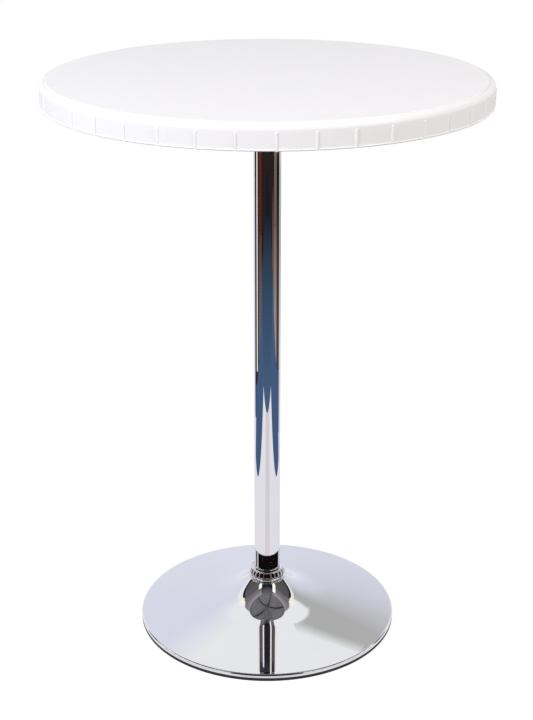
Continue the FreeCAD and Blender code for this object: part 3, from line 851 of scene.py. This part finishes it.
wall_distance = 4.0
skirting_h = 0.2
dado_h = 0.9
rail_h = 2.0
pale_level = 2.0
ceiling_z = 5.6
wall_h = ceiling_z + 0.2
right_corner = 96
skirting_left_end = -48
skirting_right_start = 56
rail_left_end = -105
rail_right_end = 104
dark_rail_half = 30
front_half = 58
wall_left_end = -115
wall_right_end = 114
black = ("#15110f", "#15110f")
white = ("#ffffff", "#ffffff")
rust = ("#7d3222", "#7d3222")
wall_card("skirting_left", rust, wall_distance, left_corner, skirting_left_end, 0, skirting_h)
wall_card(
    "skirting_front", ("#2c2421", "#15110f"), wall_distance,
    skirting_left_end, skirting_right_start, 0, skirting_h,
)
wall_card(
    "skirting_right", ("#9c7c43", "#75655d"), wall_distance,
    skirting_right_start, right_corner, 0, skirting_h,
)
wall_card("dado", black, wall_distance, left_corner, right_corner, skirting_h, dado_h)
wall_card("dado_far_left", black, wall_distance, room_left, left_corner, 0, dado_h)
wall_card("dado_far_right", black, wall_distance, right_corner, room_right, 0, dado_h)
wall_card(
    "pale_rail_left", white, wall_distance, rail_left_end, -dark_rail_half, dado_h, rail_h, level=pale_level
)
wall_card("rail_front", black, wall_distance, -dark_rail_half, dark_rail_half, dado_h, rail_h)
wall_card(
    "pale_rail_right", white, wall_distance, dark_rail_half, rail_right_end, dado_h, rail_h, level=pale_level
)
wall_card(
    "wall_front", ("#15110f", "#2f2d30"), wall_distance, -front_half, front_half, rail_h, wall_h
)
wall_card("rail_left", black, wall_distance, room_left, rail_left_end, dado_h, rail_h)
wall_card("rail_right", black, wall_distance, rail_right_end, room_right, dado_h, rail_h)
wall_card("wall_edge_left", black, wall_distance, room_left, wall_left_end, rail_h, wall_h)
wall_card("wall_left", ("#565456", "#6a686a"), wall_distance, wall_left_end, -front_half, rail_h, wall_h)
wall_card("wall_right", ("#525351", "#626162"), wall_distance, front_half, wall_right_end, rail_h, wall_h)
wall_card("wall_edge_right", black, wall_distance, wall_right_end, room_right, rail_h, wall_h)
panel_distance = 1.33
panel_start = -100
panel_end = -88
panel_h = 0.9
wall_card("panel_left", white, panel_distance, panel_start, panel_end, 0, panel_h)

box_distance = 1.0
box_deg = 48
box_half_deg = 9
box_foot = 1.2
box_level = 1.25
glow_deg = 125
glow_half_deg = 8
glow_foot = 5.0
glow_head = 6.5
glow_level = 1.2
warm = ("#fff3e2", "#fff3e2")
for lamp_side, box_head in ((-1, 1.62), (1, 2.1)):
    box_turn = lamp_side * box_deg
    wall_card(
        f"soft_box_{lamp_side}", ("#fff4e6", "#ffffff"), box_distance,
        box_turn - box_half_deg, box_turn + box_half_deg, box_foot, box_head, level=box_level,
    )
    glow_turn = lamp_side * glow_deg
    wall_card(
        f"lamp_glow_{lamp_side}", warm, wall_distance,
        glow_turn - glow_half_deg, glow_turn + glow_half_deg, glow_foot, glow_head, level=glow_level,
    )

ceiling_grey = ("#a29da2", "#7b777b")
pale_r = 2.3
grey_r = 3.1
pale_end = math.hypot(pale_r, ceiling_z)
grey_end = math.hypot(grey_r, ceiling_z)
ceiling_arc = sweep(wall_distance, room_left, room_right)
level_card("ceiling", ceiling_grey, pale_end, grey_end, ceiling_z, (0, 0), *ceiling_arc)
edge_places = ((room_right, 3.5), (132, 3.0), (139, 2.6), (146, 2.2))
right_edge = [sweep(distance, deg, deg)[0] for deg, distance in edge_places]
left_edge = [(-right, away) for right, away in reversed(right_edge)]
level_card("ceiling_back", ceiling_grey, pale_end, grey_end, ceiling_z, (0, 0), *right_edge, *left_edge)
shade_half = 42
shade_r = 1.8
dark_r = 3.6
shade_start = math.hypot(shade_r, ceiling_z)
shade_full = math.hypot(dark_r, ceiling_z)
level_card(
    "ceiling_front", ("#736f75", "#15131a"), shade_start, shade_full, ceiling_z - 1 * mm,
    *sweep(shade_r, -shade_half, shade_half), *sweep(wall_distance, shade_half, -shade_half),
)
cornice_r = 3.85
cornice_half = 105
level_card(
    "cornice", ("#3c3a3e", "#3c3a3e"), 0, wall_distance, ceiling_z - 2 * mm,
    *sweep(cornice_r, -cornice_half, cornice_half), *sweep(wall_distance, cornice_half, -cornice_half),
)

backdrop_distance = 0.7
backdrop_middle = 180
backdrop_left_end = 234
backdrop_right_end = 121
foot_h = 0.3
shade_h = 0.55
left_seam_h = 0.62
backdrop_h = 0.95
wall_card(
    "backdrop_left", ("#f0f0fc", "#ecedfa"), backdrop_distance,
    backdrop_middle, backdrop_left_end, 0, left_seam_h,
)
wall_card(
    "backdrop_left_head", ("#ecedfa", "#ffffff"), backdrop_distance,
    backdrop_middle, backdrop_left_end, left_seam_h, backdrop_h,
)
# Right part of the backdrop: it greys upward from its foot into a painted shadow of the table, darkest at
# shade height.
wall_card(
    "backdrop_right_foot", ("#eeeffb", "#e0e1ea"), backdrop_distance,
    backdrop_right_end, backdrop_middle, 0, foot_h,
)
shade_end = 172
wall_card(
    "backdrop_right", ("#e0e1ea", "#c2c1c0"), backdrop_distance,
    backdrop_right_end, shade_end, foot_h, shade_h,
)
# Cards stacked one behind another, each standing higher and paler, step the grey back to pale. They are the
# painted soft upper edge of that shadow.
shadow_edge_seam = 143
shadow_edge_end = 164
shadow_edge_rise = 20 * mm
side_first_h, side_last_h = 0.76, 0.72
head_first_h, head_last_h = 0.69, 0.92
for step, pale in enumerate(("#bfbfbc", "#cacac7", "#d7d7d5", "#e4e4e2", "#f1f1f0")):
    behind = backdrop_distance + step * mm
    rise = shadow_edge_rise * step
    wall_card(
        f"backdrop_shadow_edge_side_{step}", (pale, pale), behind,
        backdrop_right_end, shadow_edge_seam, shade_h, side_first_h + rise, side_last_h + rise,
    )
    wall_card(
        f"backdrop_shadow_edge_head_{step}", (pale, pale), behind,
        shadow_edge_seam, shadow_edge_end, shade_h, head_first_h + rise, head_last_h + rise,
    )

# Light: an even white room, and a soft box to either side of the camera, about a metre above the top.
# The left one is the stronger and cooler. Reflections show the cards above in place of the boxes.
world = bpy.data.worlds.new("white_studio")
bpy.context.scene.world = world
world.use_nodes = True
tree = world.node_tree
tree.nodes.clear()
path = add_node(tree, "LightPath", {})
seen = add_node(
    tree, "Math", {0: path.outputs["Is Camera Ray"], 1: path.outputs["Is Glossy Ray"]}, operation="MAXIMUM"
)
seen_through = add_node(
    tree, "Math", {0: seen.outputs[0], 1: path.outputs["Is Transmission Ray"]}, operation="MAXIMUM"
)
room_level = 0.64
soft_room = add_node(tree, "Background", {"Color": (1, 1, 1, 1), "Strength": room_level})
backdrop = add_node(tree, "Background", {"Color": (1, 1, 1, 1), "Strength": 1.0})
both = add_node(
    tree, "MixShader", {0: seen_through.outputs[0], 1: soft_room.outputs[0], 2: backdrop.outputs[0]}
)
add_node(tree, "OutputWorld", {"Surface": both.outputs[0]})

soft_box_w = 0.9
lamp_distance = 3.0
lamp_rise = math.radians(20)
for side_name, lamp_deg, watts, tint in (("left", -50, 60, "#fafbff"), ("right", 50, 37, "#fffaf2")):
    lamp_data = bpy.data.lights.new("lamp_" + side_name, "AREA")
    lamp_data.shape = "SQUARE"
    lamp_data.size = soft_box_w
    lamp_data.energy = watts
    lamp_data.color = linear(tint)[:3]
    lamp = bpy.data.objects.new("lamp_" + side_name, lamp_data)
    lamp.visible_glossy = False
    lamp_turn = math.radians(lamp_deg)
    level_aim = math.cos(lamp_rise)
    aim = Vector((-math.sin(lamp_turn) * level_aim, math.cos(lamp_turn) * level_aim, -math.sin(lamp_rise)))
    stand = Vector((0, 0, top_z)) - lamp_distance * aim
    facing = aim.to_track_quat("-Z", "Y").to_matrix().to_4x4()
    lamp.matrix_world = studio_turn @ Matrix.Translation(stand) @ facing
    bpy.context.scene.collection.objects.link(lamp)
